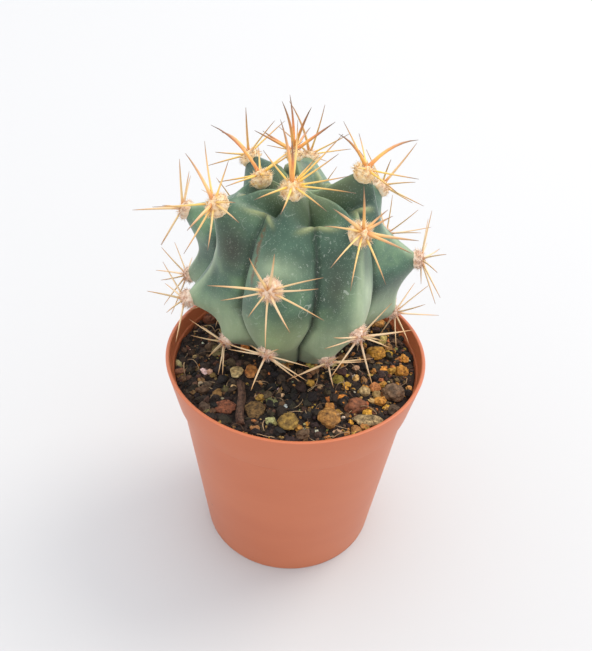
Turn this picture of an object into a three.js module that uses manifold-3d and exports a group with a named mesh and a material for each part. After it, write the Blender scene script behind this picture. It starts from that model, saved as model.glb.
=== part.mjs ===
// A round ribbed cactus with spine-bearing areoles, growing in potting grit in a
// small moulded nursery pot. Millimetres, +Z up, origin at the centre of the pot's
// underside, -Y towards the front.
import * as THREE from 'three';
import { mergeVertices } from 'three/addons/utils/BufferGeometryUtils.js';
import Module from 'manifold-3d';

// ---- Pot: a tapered moulded cup with a stepped rim band and drain holes ----
const POT_HEIGHT = 50;
const RIM_RADIUS = 27.5;
const RIM_BAND_HEIGHT = 9.5;
const RIM_BAND_FLARE = 1.9;       // how much the band widens from its foot to the lip
const RIM_STEP = 0.75;            // ledge under the band
const BASE_RADIUS = 20;
const POT_WALL = 0.8;
const POT_FLOOR = 1;
const FOOT_ROUNDING = 0.6;
const DRAIN_HOLE_RADIUS = 1.8;
const DRAIN_HOLE_COUNT = 6;
const DRAIN_HOLE_SIDES = 16;
const DRAIN_CIRCLE_RADIUS = 12;
const POT_SIDES = 48;

// ---- Soil and what lies in it ----
const SOIL_BELOW_LIP = 3.6;       // soil level at the wall
const SOIL_MOUND = 1.2;           // extra height where the soil meets the stem
const SOIL_MOUND_TOP = 9;         // distances from the stem's axis where the mound
const SOIL_MOUND_FOOT = 24;       // starts to fall and has gone
const SOIL_ROUGHNESS = 0.45;
const FIT_GAP = 0.3;              // between pieces that touch
const SLIVER_SIZE = 0.02;         // facets thinner than this are merged into their neighbours
const SOIL_RINGS = 6;
const SOIL_SIDES = 32;
const STONE_RISE = 0.12;          // of its size, from the soil to a stone's middle
const STONE_GAP = 0.45;           // wide enough for a flattened stone's slanting faces
const CHIP_THICKNESS = 1.1;
const LEAF_THICKNESS = 0.6;
const CHIP_RISE = 0.2;
const CHIP_TIP = 0.2;             // radians, the most that a chip lies out of level

// ---- Stem ----
const STEM_CENTRE_X = 0.5;
const STEM_CENTRE_Y = 7;
const STEM_CENTRE_RISE = 19.6;    // stem middle above the soil level at the wall
const STEM_RADIUS = 18.2;         // along a rib between its areoles
const GROOVE_DEPTH = 3;
const GROOVE_DEPTH_TOP = 5;       // the clefts are deeper round the crown
const CROWN_DIP = 5;
const CROWN_DIP_SPREAD = 22;      // degrees from straight up
const ROOT_DEPTH = 7.5;           // root stub below the stem's round underside
const ROOT_SPREAD = 26;           // degrees from straight down
const GROOVE_STARTS = [0, 30];    // tilts over which the grooves deepen from nothing
const GROOVE_DEEPEST = [40, 80];  // tilts over which the crown's clefts turn shallower
const GROOVE_FADES = [100, 150];  // tilts over which the grooves fade towards the root
const GROOVE_FADE = 0.6;
const TUBERCLE_LENGTH = 0.26;     // radians along the rib
const TUBERCLE_WIDTH = 0.2;       // radians across it
const TUBERCLE_ROUNDING = 0.06;
const STEM_STEPS_PER_RIB = 6;
const STEM_RINGS = 24;

// ---- Areoles: felt pads and their spines ----
const PAD_RADIUS = 2.3;
const PAD_HEIGHT = 1.5;
const PAD_SINK = 0.6;             // how far the pad's middle lies inside the tubercle
const PAD_CROWNING = 0.2;
const WELL_IN = 0.93;
const PAD_SIDES = 8;
const PAD_RINGS = 4;
const SPINE_ROOT = 0.45;          // share of the pad's height where a spine's line starts
const SPINE_RADIUS = 0.38;
const SPINE_TURN = 0.37;           // share of a side by which each spine is turned
const STAR_SPINE_LENGTH = 10;
const STAR_SPINES = 8;
const STAR_LEAN = 68;
const STAR_LEAN_SPREAD = 14;
const STAR_CENTRE_LEAN = 20;
const STAR_CENTRE_LENGTH = 1.1;   // of the others' length
const SPINE_SIDES = 4;
const SPINE_STEPS = 2;
const SPINE_BEND = 0.06;          // sideways bow, as a share of the length
const SPINE_TAPER = 0.75;
const STOUT_LEAN = 62;            // spines that lean less than this are stout
const STOUTNESS = 1.35;

// The ribs in order round the stem, each running down from the crown through its areoles.
// An areole is placed by its azimuth (degrees, 0 at the front, growing to the right) and
// its tilt from straight up; then come how far its tubercle stands out of the rib and the
// size of its pad. A rib's roundness is 1 for a sharp crest and 2 for a round one.
const RIBS = [
  {
    name: 'front',
    roundness: 2,
    areoles: [[-19, 20, 4.3, 1], [-17, 70, 2.9, 1], [-21, 120, 1.6, 0.7]],
  },
  {
    name: 'front_right',
    roundness: 1.3,
    areoles: [[39, 45, 4.3, 1], [38, 106, 1.1, 0.8], [22, 128, 1.7, 0.6]],
  },
  {
    name: 'right',
    roundness: 1.3,
    areoles: [[78, 25, 7.1, 0.9], [92, 83, 5.4, 0.8], [94, 119, 4.6, 0.6]],
  },
  {
    name: 'back_right',
    roundness: 1.3,
    areoles: [[130, 58, 5.2, 0.9], [130, 90, 4.6, 0.8], [133, 122, 2.7, 0.6]],
  },
  {
    name: 'back',
    roundness: 1.3,
    areoles: [[197, 25, 3.4, 0.7], [179, 49, 5.4, 0.9], [178, 85, 4.7, 0.9], [178, 120, 2.9, 0.6]],
  },
  {
    name: 'back_left',
    roundness: 1.3,
    areoles: [[220, 47, 6.5, 0.9], [218, 85, 4.7, 0.9], [219, 120, 3.2, 0.6]],
  },
  {
    name: 'left',
    roundness: 1.3,
    areoles: [[267, 24, 2, 0.9], [257, 70, 8.2, 0.8], [254, 107, 7.7, 0.7], [252, 126, 0.6, 0.6]],
  },
  {
    name: 'front_left',
    roundness: 1.3,
    areoles: [[299, 45, 7.8, 1], [278, 106, 5.6, 0.8], [297, 129, 3.6, 0.6]],
  },
];

// Spines of the areoles that show most, each as [clock, lean, length]: the clock turns from
// straight up the rib to the right, the lean is from the areole's outward direction, in
// degrees, and a spine that leans little is a stout central one. Other areoles get a star.
const SPINE_PLANS = {
  front_1: [[20, 75, 7], [35, 70, 13], [50, 70, 10], [75, 80, 10.5], [85, 85, 12], [120, 80, 10.5],
    [165, 70, 11], [215, 75, 8.5], [300, 75, 9], [335, 55, 12], [350, 70, 13], [355, 30, 8]],
  front_2: [[15, 60, 9.5], [60, 85, 11], [75, 75, 10.5], [100, 85, 11.5], [135, 65, 9], [175, 80, 11],
    [210, 70, 6], [245, 80, 9], [275, 60, 11], [340, 45, 10.5]],
  front_3: [[25, 85, 10], [65, 85, 11], [85, 75, 10], [130, 80, 9], [180, 25, 8.5], [260, 85, 8.5],
    [300, 80, 9], [355, 80, 8]],
  front_right_1: [[65, 65, 6], [80, 60, 6], [130, 65, 10], [145, 60, 9.5], [185, 80, 10.5],
    [230, 80, 13], [255, 75, 13], [290, 70, 11], [310, 65, 9.5], [355, 45, 9.5]],
  front_right_2: [[20, 85, 10], [70, 60, 10.5], [120, 75, 10], [175, 55, 12], [235, 75, 10],
    [285, 85, 11], [300, 85, 11], [350, 50, 10]],
  front_right_3: [[10, 85, 10], [60, 80, 9], [115, 85, 10], [175, 25, 5.5], [205, 85, 9], [260, 80, 9],
    [310, 80, 9]],
  right_1: [[35, 70, 10], [70, 85, 10.5], [120, 60, 12.5], [170, 75, 10], [225, 75, 10],
    [290, 70, 11], [330, 60, 11]],
  right_2: [[30, 75, 10], [60, 75, 10], [100, 75, 10.5], [115, 60, 10.5], [145, 85, 13], [200, 75, 10],
    [245, 75, 10], [290, 80, 10], [310, 70, 10.5]],
  back_left_1: [[15, 55, 11], [70, 85, 10.5], [120, 80, 9], [180, 40, 11], [240, 80, 10],
    [290, 70, 11], [350, 80, 10.5]],
  back_1: [[0, 15, 11], [20, 40, 12], [80, 60, 9], [140, 60, 9], [220, 60, 9], [280, 60, 10],
    [345, 50, 12]],
  back_2: [[0, 60, 13], [40, 75, 10], [100, 75, 10], [150, 75, 9], [200, 75, 10], [250, 70, 10.5],
    [300, 75, 10], [345, 70, 14]],
  left_1: [[20, 75, 10], [60, 75, 9], [115, 70, 11], [160, 75, 8], [230, 45, 14], [270, 75, 9],
    [300, 85, 11]],
  left_2: [[60, 75, 9], [155, 85, 9], [175, 30, 11], [185, 80, 13], [240, 75, 10], [290, 75, 9],
    [325, 75, 7.5], [350, 65, 10]],
  front_left_1: [[65, 75, 9.5], [80, 85, 11], [120, 85, 11], [135, 60, 10], [145, 80, 11.5],
    [220, 70, 12.5], [285, 60, 11], [305, 70, 12], [350, 75, 8]],
  front_left_2: [[25, 55, 9.5], [65, 70, 8], [110, 75, 10.5], [205, 85, 12], [225, 85, 12],
    [270, 70, 10], [320, 75, 9]],
  front_left_3: [[15, 75, 9.5], [45, 75, 9.5], [75, 70, 10.5], [130, 60, 8], [200, 60, 8],
    [260, 75, 11], [310, 75, 9]],
};

// Larger stones, as [x, y, size, height share], and flat chips, as [x, y, length, width, turn].
const STONES = [
  [23, -1.9, 3.4, 0.8], [17.6, 2.8, 4.2, 0.7], [9, -6.3, 2.6, 0.8], [14.4, -9.3, 2.6, 0.9],
  [12.4, -13.2, 4.6, 0.7], [20.3, -9.4, 4.8, 0.6], [7.3, -17.6, 4.6, 0.6], [-0.7, -18.9, 4.4, 0.6],
  [17, -9.2, 2.2, 0.9], [18, 13.6, 4, 0.7], [-19.6, 12.6, 3.6, 0.7], [-14, 18.6, 3.2, 0.8],
  [20.4, 5.6, 2.4, 0.8],
];
const BARK_CHIPS = [
  [-13.6, -15.4, 5.2, 3.2, 25], [-7.6, -15.6, 5, 3.4, 60], [14.9, -17.5, 6, 2.4, -20],
];
const LEAF_CHIPS = [[-12.2, -5.4, 3.6, 2.6, 100], [-9.2, -5.3, 3.8, 2.6, 70]];
const TWIG = { x: -10.6, y: -14.4, length: 11.5, radius: 0.8, turn: 98, sides: 7, taper: 0.85 };

const soilLevel = POT_HEIGHT - SOIL_BELOW_LIP;
const stemCentre = new THREE.Vector3(STEM_CENTRE_X, STEM_CENTRE_Y, soilLevel + STEM_CENTRE_RISE);

const wasm = await Module();
wasm.setup();

function toSolid(geometry) {
  const bare = geometry.clone();
  bare.deleteAttribute('normal');
  bare.deleteAttribute('uv');
  const merged = mergeVertices(bare, 1e-4);
  return new wasm.Manifold(new wasm.Mesh({
    numProp: 3,
    vertProperties: merged.attributes.position.array,
    triVerts: Uint32Array.from(merged.index.array),
  }));
}

function toGeometry(solid) {
  const mesh = solid.simplify(SLIVER_SIZE).getMesh();
  const geometry = new THREE.BufferGeometry();
  geometry.setAttribute('position', new THREE.BufferAttribute(mesh.vertProperties, 3));
  geometry.setIndex(new THREE.BufferAttribute(mesh.triVerts, 1));
  geometry.computeVertexNormals();
  return geometry;
}

const group = new THREE.Group();
function addPiece(name, geometry, material) {
  const mesh = new THREE.Mesh(geometry, material);
  mesh.name = name;
  group.add(mesh);
}

// A repeatable stream of numbers from 0 to 1.
function makeRandom(seed) {
  let state = seed;
  return () => {
    state = (state * 1103515245 + 12345) % 2147483648;
    return state / 2147483648;
  };
}

const radians = THREE.MathUtils.degToRad;
const degrees = THREE.MathUtils.radToDeg;
const smoothstep = THREE.MathUtils.smoothstep;
const lerp = THREE.MathUtils.lerp;

// ---- The stem's surface, as a distance from its middle in each direction ----
// Rib coordinate: 0 on the first rib's crest, 1 on the next one's and 0.5 in the groove
// between them, growing round the stem.
function directionOf(azimuth, tilt) {
  const a = radians(azimuth);
  const t = radians(tilt);
  return new THREE.Vector3(Math.sin(t) * Math.sin(a), -Math.sin(t) * Math.cos(a), Math.cos(t));
}

// Azimuth of a rib's crest at a given tilt.
function crestAzimuth(ribNumber, tilt) {
  const turns = Math.floor(ribNumber / RIBS.length);
  const rows = RIBS[ribNumber - turns * RIBS.length].areoles;
  const below = rows.findIndex((row) => row[1] >= tilt);
  if (below === 0) return rows[0][0] + 360 * turns;
  if (below < 0) return rows.at(-1)[0] + 360 * turns;
  const [azimuthAbove, tiltAbove] = rows[below - 1];
  const [azimuthBelow, tiltBelow] = rows[below];
  const share = (tilt - tiltAbove) / (tiltBelow - tiltAbove);
  return lerp(azimuthAbove, azimuthBelow, share) + 360 * turns;
}

const areoles = [];
RIBS.forEach((rib, ribNumber) => rib.areoles.forEach(([azimuth, tilt, standOut, size], index) => {
  areoles.push({
    label: `${rib.name}_${index + 1}`,
    ribNumber,
    outward: directionOf(azimuth, tilt),
    downRib: directionOf(azimuth, tilt + 90),
    acrossRib: directionOf(azimuth + 90, 90),
    tilt,
    standOut,
    size,
  });
}));

const crownDipAt = (tilt) => CROWN_DIP * Math.exp(-((tilt / CROWN_DIP_SPREAD) ** 2));
const softened = (x) => Math.hypot(x, TUBERCLE_ROUNDING) - TUBERCLE_ROUNDING;

function stemReach(ribCoordinate, tilt) {
  const rib = Math.floor(ribCoordinate);
  const share = ribCoordinate - rib;
  const azimuth = lerp(crestAzimuth(rib, tilt), crestAzimuth(rib + 1, tilt), share);
  const direction = directionOf(azimuth, tilt);
  const nearest = RIBS[Math.round(ribCoordinate) % RIBS.length];
  const fromCrest = 2 * Math.min(share, 1 - share);
  const grooveFade = smoothstep(tilt, ...GROOVE_STARTS)
    * (1 - GROOVE_FADE * smoothstep(tilt, ...GROOVE_FADES));
  const grooveDepth = lerp(GROOVE_DEPTH_TOP, GROOVE_DEPTH, smoothstep(tilt, ...GROOVE_DEEPEST));
  const root = ROOT_DEPTH * Math.exp(-(((180 - tilt) / ROOT_SPREAD) ** 2));
  let reach = STEM_RADIUS - crownDipAt(tilt) + root;
  reach -= grooveDepth * grooveFade * fromCrest ** nearest.roundness;
  const offset = new THREE.Vector3();
  for (const areole of areoles) {
    offset.subVectors(direction, areole.outward);
    const fall = softened(offset.dot(areole.downRib)) / TUBERCLE_LENGTH
      + softened(offset.dot(areole.acrossRib)) / TUBERCLE_WIDTH
      + Math.max(0, 1 - direction.dot(areole.outward)) / TUBERCLE_WIDTH;
    reach += (areole.standOut + crownDipAt(areole.tilt)) * Math.exp(-fall);
  }
  return { reach, direction };
}

function stemGeometry(margin) {
  const geometry = new THREE.SphereGeometry(1, RIBS.length * STEM_STEPS_PER_RIB, STEM_RINGS);
  geometry.rotateX(Math.PI / 2);
  const position = geometry.attributes.position;
  const point = new THREE.Vector3();
  for (let i = 0; i < position.count; i += 1) {
    point.fromBufferAttribute(position, i);
    const tilt = degrees(Math.acos(THREE.MathUtils.clamp(point.z, -1, 1)));
    const turn = Math.atan2(point.x, -point.y) / (2 * Math.PI);
    const atPole = Math.hypot(point.x, point.y) < 1e-6;
    const ribCoordinate = atPole ? 0 : RIBS.length * (turn < -1e-9 ? turn + 1 : Math.max(turn, 0));
    const { reach, direction } = stemReach(ribCoordinate, tilt);
    point.copy(stemCentre).addScaledVector(direction, reach + margin);
    position.setXYZ(i, point.x, point.y, point.z);
  }
  return geometry;
}

const stemSolid = toSolid(stemGeometry(0));
const stemWithGap = toSolid(stemGeometry(FIT_GAP + 0.1));
addPiece('cactus_stem', toGeometry(stemSolid), new THREE.MeshStandardMaterial({
  color: 0x4f6e60, roughness: 0.55,
}));

// ---- Pot ----
const bandFootRadius = RIM_RADIUS - RIM_BAND_FLARE;
const bandFootHeight = POT_HEIGHT - RIM_BAND_HEIGHT;
const bodyTopRadius = bandFootRadius - RIM_STEP;
const wallSlope = (bodyTopRadius - BASE_RADIUS) / bandFootHeight;
const innerRadiusAt = (z) => BASE_RADIUS - POT_WALL + wallSlope * z;

function potGeometry() {
  const lip = POT_WALL / 2;
  const outline = [
    [0, 0],
    [BASE_RADIUS - FOOT_ROUNDING, 0],
    [BASE_RADIUS, FOOT_ROUNDING],
    [bodyTopRadius, bandFootHeight],
    [bandFootRadius, bandFootHeight],
    [RIM_RADIUS, POT_HEIGHT - lip],
    [RIM_RADIUS - lip, POT_HEIGHT],
    [RIM_RADIUS - POT_WALL, POT_HEIGHT - lip],
    [bandFootRadius - POT_WALL, bandFootHeight],
    [innerRadiusAt(bandFootHeight), bandFootHeight - POT_WALL],
    [innerRadiusAt(POT_FLOOR), POT_FLOOR],
    [0, POT_FLOOR],
  ].map(([r, z]) => new THREE.Vector2(r, z));
  return new THREE.LatheGeometry(outline, POT_SIDES).rotateX(Math.PI / 2);
}

function drainHoles() {
  const radius = DRAIN_HOLE_RADIUS;
  const drillLength = 4 * POT_FLOOR;
  const holes = [];
  for (let i = 0; i < DRAIN_HOLE_COUNT; i += 1) {
    const angle = (i / DRAIN_HOLE_COUNT) * 2 * Math.PI;
    const hole = new THREE.CylinderGeometry(radius, radius, drillLength, DRAIN_HOLE_SIDES);
    hole.rotateX(Math.PI / 2);
    hole.translate(DRAIN_CIRCLE_RADIUS * Math.cos(angle), DRAIN_CIRCLE_RADIUS * Math.sin(angle), 0);
    holes.push(toSolid(hole));
  }
  return holes;
}

const potSolid = drainHoles().reduce((pot, hole) => pot.subtract(hole), toSolid(potGeometry()));
addPiece('pot', toGeometry(potSolid), new THREE.MeshStandardMaterial({
  color: 0xc47a5a, roughness: 0.5,
}));

// ---- Soil ----
const soilHeightAt = (x, y) => {
  const fromStem = Math.hypot(x - STEM_CENTRE_X, y - STEM_CENTRE_Y);
  const ripple = Math.sin(0.9 * x + 1.7) * Math.cos(0.7 * y) + Math.sin(1.3 * y - 0.8 * x);
  const mound = SOIL_MOUND * (1 - smoothstep(fromStem, SOIL_MOUND_TOP, SOIL_MOUND_FOOT));
  return soilLevel + mound + (SOIL_ROUGHNESS * ripple) / 2;
};

function soilGeometry() {
  const shelf = bandFootHeight - POT_WALL;
  const bandSlope = RIM_BAND_FLARE / RIM_BAND_HEIGHT;
  const shelfRadius = bandFootRadius - POT_WALL - FIT_GAP;
  const wallRadius = shelfRadius + bandSlope * (soilLevel - bandFootHeight) - SOIL_ROUGHNESS / 4;
  const floorHeight = POT_FLOOR + FIT_GAP;
  const outline = [
    [0, floorHeight],
    [innerRadiusAt(floorHeight) - FIT_GAP, floorHeight],
    [innerRadiusAt(shelf) - FIT_GAP, shelf],
    [shelfRadius, bandFootHeight + FIT_GAP],
  ].map(([r, z]) => new THREE.Vector2(r, z));
  for (let ring = 0; ring <= SOIL_RINGS; ring += 1) {
    outline.push(new THREE.Vector2(wallRadius * (1 - ring / SOIL_RINGS), soilLevel));
  }
  const geometry = new THREE.LatheGeometry(outline, SOIL_SIDES).rotateX(Math.PI / 2);
  const position = geometry.attributes.position;
  for (let i = 0; i < position.count; i += 1) {
    if (position.getZ(i) > soilLevel - 0.01) {
      position.setZ(i, soilHeightAt(position.getX(i), position.getY(i)));
    }
  }
  return geometry;
}

// ---- Stones, chips and the twig ----
const random = makeRandom(7);
const between = (low, high) => low + (high - low) * random();
const litter = [];
function addLitter(name, geometry, withGap, colour) {
  addPiece(name, geometry, new THREE.MeshStandardMaterial({ color: colour, roughness: 0.9 }));
  geometry.computeBoundingBox();
  litter.push({ box: geometry.boundingBox, withGap: toSolid(withGap) });
}

function unevenStone(size, heightShare, margin, dents) {
  const bare = new THREE.DodecahedronGeometry(1, 0);
  bare.deleteAttribute('normal');
  bare.deleteAttribute('uv');
  const stone = mergeVertices(bare, 1e-3);
  const position = stone.attributes.position;
  const point = new THREE.Vector3();
  for (let i = 0; i < position.count; i += 1) {
    point.fromBufferAttribute(position, i);
    point.multiplyScalar((size / 2) * dents[i] + margin);
    position.setXYZ(i, point.x, point.y, point.z * heightShare);
  }
  return stone;
}

const STONE_COLOURS = [0xd99a35, 0xb98a45, 0xa89a3a, 0xc9b07a, 0x8a5238, 0x8f7450];
STONES.forEach(([x, y, size, heightShare], index) => {
  const dents = Array.from({ length: 20 }, () => between(0.85, 1.1));
  const turn = between(0, Math.PI);
  const place = (geometry) => geometry.rotateZ(turn)
    .translate(x, y, soilHeightAt(x, y) + STONE_RISE * size);
  const stone = place(unevenStone(size, heightShare, 0, dents));
  const withGap = place(unevenStone(size, heightShare, STONE_GAP, dents));
  addLitter(`grit_stone_${index + 1}`, stone, withGap, STONE_COLOURS[index % STONE_COLOURS.length]);
});

function chipGeometry(length, width, thickness, margin) {
  const outline = new THREE.Shape();
  const l = length / 2 + margin;
  const w = width / 2 + margin;
  outline.moveTo(-l, -0.3 * w);
  outline.lineTo(-0.4 * l, -w);
  outline.lineTo(0.6 * l, -0.8 * w);
  outline.lineTo(l, 0.2 * w);
  outline.lineTo(0.3 * l, w);
  outline.lineTo(-0.7 * l, 0.7 * w);
  outline.closePath();
  const depth = thickness + 2 * margin;
  return new THREE.ExtrudeGeometry(outline, { depth, bevelEnabled: false })
    .translate(0, 0, -depth / 2);
}

function addChips(kind, chips, thickness, colour) {
  chips.forEach(([x, y, length, width, turn], index) => {
    const tip = between(-CHIP_TIP, CHIP_TIP);
    const place = (geometry) => geometry.rotateX(tip).rotateZ(radians(turn))
      .translate(x, y, soilHeightAt(x, y) + 0.3 * thickness + CHIP_RISE);
    const chip = place(chipGeometry(length, width, thickness, 0));
    const withGap = place(chipGeometry(length, width, thickness, FIT_GAP));
    addLitter(`${kind}_${index + 1}`, chip, withGap, colour);
  });
}
addChips('bark_chip', BARK_CHIPS, CHIP_THICKNESS, 0x8a5238);
addChips('leaf_chip', LEAF_CHIPS, LEAF_THICKNESS, 0xc9a66a);

function twigGeometry(margin) {
  const radius = TWIG.radius + margin;
  const length = TWIG.length + 2 * margin;
  return new THREE.CylinderGeometry(radius, TWIG.taper * radius, length, TWIG.sides, 1)
    .rotateZ(Math.PI / 2)
    .rotateZ(radians(TWIG.turn))
    .translate(TWIG.x, TWIG.y, soilHeightAt(TWIG.x, TWIG.y) + 0.55 * TWIG.radius);
}
addLitter('twig', twigGeometry(0), twigGeometry(FIT_GAP + 0.05), 0x5c4436);

const soilSolid = litter.reduce(
  (soil, piece) => soil.subtract(piece.withGap),
  toSolid(soilGeometry()).subtract(stemWithGap),
);
addPiece('soil', toGeometry(soilSolid), new THREE.MeshStandardMaterial({
  color: 0x2a211d, roughness: 0.95,
}));

// ---- Areoles: a felt pad on each tubercle's tip, with its spines ----
const litterSpheres = litter.map(({ box }) => ({
  centre: box.getCenter(new THREE.Vector3()),
  radius: box.getSize(new THREE.Vector3()).length() / 2,
}));
for (const areole of areoles) {
  const { reach } = stemReach(areole.ribNumber, areole.tilt);
  areole.foot = stemCentre.clone().addScaledVector(areole.outward, reach);
}

// Height of a point above the stem's surface, measured outwards from the stem's middle.
function heightOverStem(point) {
  const away = point.clone().sub(stemCentre);
  const distance = away.length();
  const tilt = degrees(Math.acos(away.z / distance));
  const azimuth = degrees(Math.atan2(away.x, -away.y));
  for (let rib = 0; rib < RIBS.length; rib += 1) {
    const low = crestAzimuth(rib, tilt);
    const high = crestAzimuth(rib + 1, tilt);
    const turned = (((azimuth - low) % 360) + 360) % 360;
    if (turned <= high - low) return distance - stemReach(rib + turned / (high - low), tilt).reach;
  }
  return 0;
}

// Points along a spine's centre line, from inside the pad to the tip.
function spineLine(areole, [clock, lean, length]) {
  const turn = radians(clock);
  const tangent = areole.downRib.clone().multiplyScalar(-Math.cos(turn))
    .addScaledVector(areole.acrossRib, Math.sin(turn));
  const direction = areole.outward.clone().multiplyScalar(Math.cos(radians(lean)))
    .addScaledVector(tangent, Math.sin(radians(lean)));
  const bow = new THREE.Vector3().crossVectors(direction, areole.outward).normalize()
    .multiplyScalar(SPINE_BEND * length * (clock % 20 < 10 ? 1 : -1));
  const foot = areole.foot.clone()
    .addScaledVector(areole.outward, SPINE_ROOT * PAD_HEIGHT * areole.size);
  const points = [];
  for (let step = 0; step <= SPINE_STEPS; step += 1) {
    const share = step / SPINE_STEPS;
    points.push(foot.clone()
      .addScaledVector(direction, share * length)
      .addScaledVector(bow, share * share));
  }
  return points;
}

function lineDistance(point, line) {
  const segment = new THREE.Line3();
  const closest = new THREE.Vector3();
  const distances = line.slice(1).map((end, i) => {
    segment.set(line[i], end);
    return segment.closestPointToPoint(point, true, closest).distanceTo(point);
  });
  return Math.min(...distances);
}

function padHalfHeight(areole) {
  return PAD_HEIGHT * areole.size + PAD_SINK + PAD_CROWNING;
}

// Whether a point is well inside an areole's own pad.
function isInPad(areole, point) {
  const fromMiddle = point.clone().sub(areole.foot).addScaledVector(areole.outward, PAD_SINK);
  const upwards = fromMiddle.dot(areole.outward);
  const sideways = fromMiddle.addScaledVector(areole.outward, -upwards).length();
  return Math.hypot(upwards / padHalfHeight(areole), sideways / (PAD_RADIUS * areole.size)) < WELL_IN;
}

const spines = [];
function spineIsClear(areole, line) {
  const samples = [];
  for (let i = 1; i < line.length; i += 1) {
    for (const share of [0.25, 0.5, 0.75, 1]) samples.push(line[i - 1].clone().lerp(line[i], share));
  }
  const thickness = SPINE_RADIUS * STOUTNESS;
  const rimInside = RIM_RADIUS - POT_WALL - 2 * FIT_GAP - thickness;
  return samples.every((point) => {
    const leastHeight = isInPad(areole, point) ? FIT_GAP : FIT_GAP + thickness;
    if (heightOverStem(point) < leastHeight) return false;
    if (point.z < soilHeightAt(point.x, point.y) + SOIL_ROUGHNESS + thickness) return false;
    const overRim = Math.hypot(point.x, point.y) > rimInside;
    if (overRim && point.z < POT_HEIGHT + FIT_GAP + thickness) return false;
    const onLitter = litterSpheres.some(
      (stone) => stone.centre.distanceTo(point) < stone.radius + thickness,
    );
    const onPad = areoles.some((other) => other !== areole
      && other.foot.distanceTo(point) < PAD_RADIUS * other.size + thickness + FIT_GAP);
    if (onLitter || onPad) return false;
    return spines.every((other) => other.areole === areole
      || lineDistance(point, other.line) > 2 * thickness + FIT_GAP);
  });
}

// A spine that would touch something is lifted, swivelled or shortened until it is clear.
function clearedLine(areole, [clock, lean, length]) {
  for (const shorter of [1, 0.9, 0.8, 0.65]) {
    for (const lift of [0, 8, 16, 26, 38, 50]) {
      for (const swivel of [0, 6, -6, 12, -12, 20, -20]) {
        const line = spineLine(areole, [clock + swivel, lean - lift, length * shorter]);
        if (spineIsClear(areole, line)) return line;
      }
    }
  }
  return null;
}

function spineGeometry(line, radius) {
  const positions = [];
  const indices = [];
  const along = new THREE.Vector3();
  const side = new THREE.Vector3();
  const up = new THREE.Vector3();
  along.subVectors(line[SPINE_STEPS], line[0]).normalize();
  const isUpright = Math.abs(along.z) > 0.9;
  const reference = new THREE.Vector3(isUpright ? 1 : 0, 0, isUpright ? 0 : 1);
  for (let ring = 0; ring < SPINE_STEPS; ring += 1) {
    along.subVectors(line[ring + 1], line[ring]).normalize();
    side.crossVectors(along, reference).normalize();
    up.crossVectors(side, along);
    const ringRadius = radius * (1 - SPINE_TAPER * (ring / SPINE_STEPS));
    for (let corner = 0; corner < SPINE_SIDES; corner += 1) {
      const angle = ((corner + SPINE_TURN) / SPINE_SIDES) * 2 * Math.PI;
      const point = line[ring].clone().addScaledVector(side, ringRadius * Math.cos(angle))
        .addScaledVector(up, ringRadius * Math.sin(angle));
      positions.push(...point.toArray());
    }
  }
  const tip = SPINE_STEPS * SPINE_SIDES;
  positions.push(...line[SPINE_STEPS].toArray(), ...line[0].toArray());
  for (let corner = 0; corner < SPINE_SIDES; corner += 1) {
    const next = (corner + 1) % SPINE_SIDES;
    for (let ring = 0; ring < SPINE_STEPS - 1; ring += 1) {
      const a = ring * SPINE_SIDES;
      const b = a + SPINE_SIDES;
      indices.push(a + corner, b + corner, a + next, a + next, b + corner, b + next);
    }
    const last = tip - SPINE_SIDES;
    indices.push(last + corner, tip, last + next);
    indices.push(corner, next, tip + 1);
  }
  const geometry = new THREE.BufferGeometry();
  geometry.setAttribute('position', new THREE.Float32BufferAttribute(positions, 3));
  geometry.setIndex(indices);
  return geometry;
}

function padGeometry(areole) {
  const radius = PAD_RADIUS * areole.size;
  const turn = new THREE.Quaternion().setFromUnitVectors(new THREE.Vector3(0, 0, 1), areole.outward);
  const middle = areole.foot.clone().addScaledVector(areole.outward, -PAD_SINK);
  return new THREE.SphereGeometry(1, PAD_SIDES, PAD_RINGS)
    .scale(radius, radius, padHalfHeight(areole))
    .applyQuaternion(turn)
    .translate(...middle.toArray());
}

const padMaterial = new THREE.MeshStandardMaterial({ color: 0xf0d2a0, roughness: 0.95 });
const scatter = makeRandom(41);
function starPlan(areole) {
  const plan = [[360 * scatter(), STAR_CENTRE_LEAN, STAR_SPINE_LENGTH * STAR_CENTRE_LENGTH]];
  for (let i = 0; i < STAR_SPINES; i += 1) {
    const clock = (360 / STAR_SPINES) * (i + 0.6 * scatter());
    const lean = STAR_LEAN + STAR_LEAN_SPREAD * scatter();
    const share = (0.8 + 0.3 * scatter()) * (0.7 + 0.3 * areole.size);
    plan.push([clock, lean, STAR_SPINE_LENGTH * share]);
  }
  return plan;
}

for (const areole of areoles) {
  const plan = SPINE_PLANS[areole.label] ?? starPlan(areole);
  let cluster = toSolid(padGeometry(areole));
  for (const spine of plan) {
    const line = clearedLine(areole, spine);
    if (line) {
      spines.push({ areole, line });
      const radius = SPINE_RADIUS * (spine[1] < STOUT_LEAN ? STOUTNESS : 1);
      cluster = cluster.add(toSolid(spineGeometry(line, radius)));
    }
  }
  addPiece(`areole_${areole.label}`, toGeometry(cluster.subtract(stemWithGap)), padMaterial);
}

export default group;
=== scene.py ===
"""A round ribbed cactus with spiny areoles, rooted in gritty potting mix in a small moulded pot."""

import math
import random

import bmesh
import bpy
import numpy as np
from mathutils import Matrix, Vector, noise
from mathutils.bvhtree import BVHTree


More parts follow.
